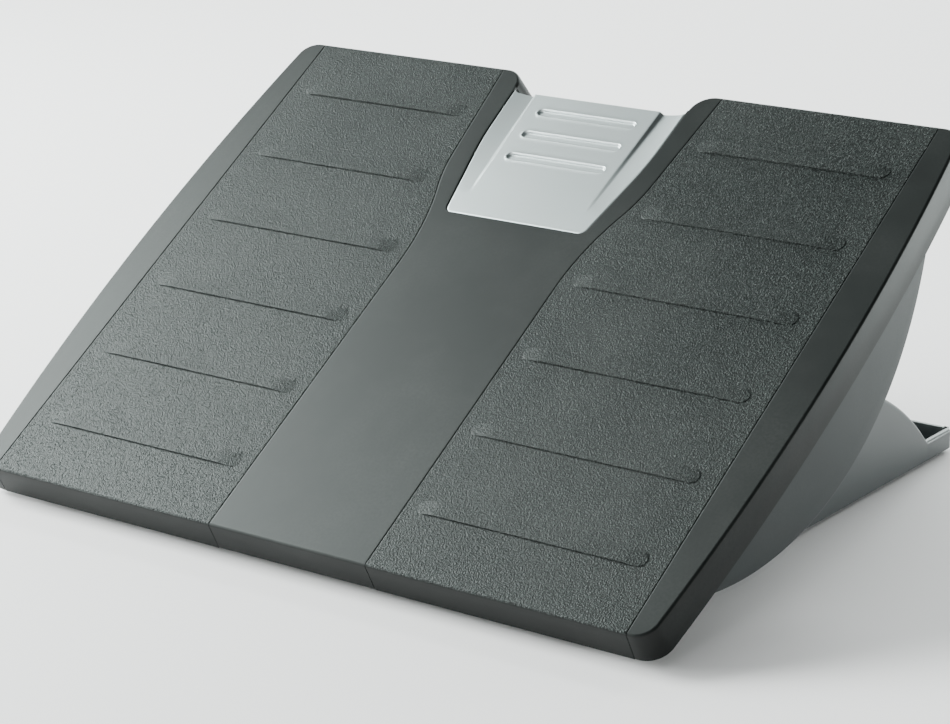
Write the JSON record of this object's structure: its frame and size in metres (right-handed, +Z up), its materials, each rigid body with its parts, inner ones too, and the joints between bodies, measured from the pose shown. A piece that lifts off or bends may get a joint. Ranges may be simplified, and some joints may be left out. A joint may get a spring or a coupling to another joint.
{
  "type": "tilting under-desk footrest",
  "caption": "Wide charcoal foot platform with ribbed treads and a silver centre insert, tilting on a low open base, with height steps.",
  "frame": {"origin": "on the floor, under the middle of the whole footrest's box at rest", "axes": "+X to the user's right, +Y from the user's side to the back, +Z up"},
  "size_m": [0.444, 0.3506, 0.1944],
  "materials": {
    "shell_plastic": "fine-grained satin graphite moulding",
    "tread_plastic": "coarse pebbled graphite moulding",
    "cheek_plastic": "smooth satin graphite moulding",
    "base_plastic": "smooth satin graphite moulding",
    "bracket_plastic": "plain black moulding",
    "block_plastic": "natural grey slide plastic",
    "silver_insert": "satin silver paint on plastic",
    "steel": "zinc-plated steel",
    "rubber_foot": "matt black rubber"
  },
  "bodies": {
    "base": {"base_side_left": "base_plastic", "base_side_right": "base_plastic", "base_front_rail": "base_plastic", "base_rear_rail": "base_plastic", "pivot_pin_left": "steel", "pivot_pin_right": "steel", "pin_nut_left": "steel", "pin_nut_right": "steel", "foot_front_left": "rubber_foot", "foot_front_right": "rubber_foot", "foot_rear_left": "rubber_foot", "foot_rear_right": "rubber_foot", "rail_screws": "steel"},
    "pivot_blocks": {"pivot_block_left": "block_plastic", "pivot_block_right": "block_plastic"},
    "platform": {"platform_shell": "shell_plastic", "tread_panel_left": "tread_plastic", "tread_panel_right": "tread_plastic", "centre_insert": "silver_insert", "side_cheek_left": "cheek_plastic", "side_cheek_right": "cheek_plastic", "height_bracket_left": "bracket_plastic", "height_bracket_right": "bracket_plastic", "cheek_screws": "steel", "bracket_screws": "steel"}
  },
  "joints": [
    {"name": "platform_tilt", "type": "hinge", "parent": "base", "child": "pivot_blocks", "pos_m": [0, -0.01348, 0.0703], "axis": [1, 0, 0], "range_deg": [-42.3, 0]},
    {"name": "platform_lift", "type": "slide", "parent": "pivot_blocks", "child": "platform", "axis": [0, -0.5344, 0.8453], "range_m": [0, 0.03]}
  ]
}
